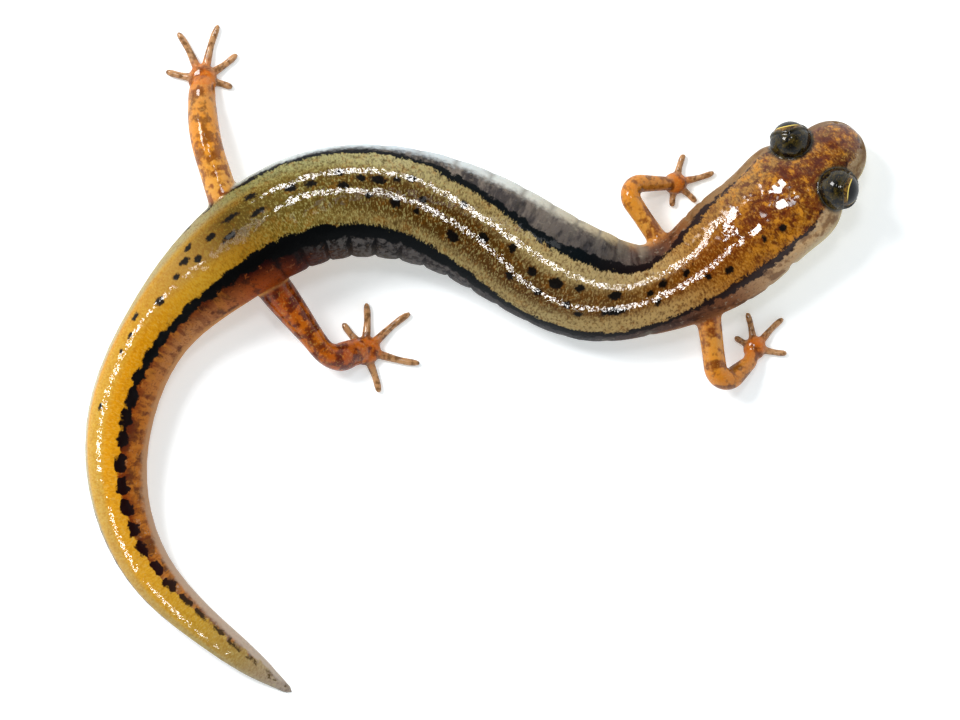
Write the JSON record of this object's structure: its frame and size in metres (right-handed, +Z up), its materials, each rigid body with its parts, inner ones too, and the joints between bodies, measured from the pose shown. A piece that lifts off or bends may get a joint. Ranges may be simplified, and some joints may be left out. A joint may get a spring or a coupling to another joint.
{
  "type": "two-lined salamander",
  "caption": "Life-size still model of a northern two-lined salamander, long body bent in an S, resting on its belly with legs spread.",
  "frame": {"origin": "centre of the resting animal's box, on the floor it lies on", "axes": "+X from the outer bend of the tail towards the snout, +Y towards the left hind foot, +Z up"},
  "size_m": [0.0548, 0.0471, 0.0063],
  "materials": {
    "back_skin": "moist smooth skin, olive-tan back between two dark side stripes",
    "tail_skin": "moist smooth skin, yellow-orange with a broken dark side stripe",
    "limb_skin": "moist smooth skin, orange mottled with brown",
    "eye": "clear wet cornea over a gold-flecked iris and black pupil"
  },
  "bodies": {
    "root": {"head": "back_skin", "neck": "back_skin", "torso_shoulders": "back_skin", "torso_front": "back_skin", "torso_middle": "back_skin", "torso_rear": "back_skin", "torso_hips": "back_skin", "tail_base": "tail_skin", "tail_front": "tail_skin", "tail_middle": "tail_skin", "tail_rear": "tail_skin", "tail_tip": "tail_skin", "eye_left": "eye", "eye_right": "eye", "upper_arm_left": "limb_skin", "forearm_left": "limb_skin", "hand_left": "limb_skin", "upper_arm_right": "limb_skin", "forearm_right": "limb_skin", "hand_right": "limb_skin", "thigh_left": "limb_skin", "shin_left": "limb_skin", "foot_left": "limb_skin", "thigh_right": "limb_skin", "shin_right": "limb_skin", "foot_right": "limb_skin"}
  },
  "joints": []
}
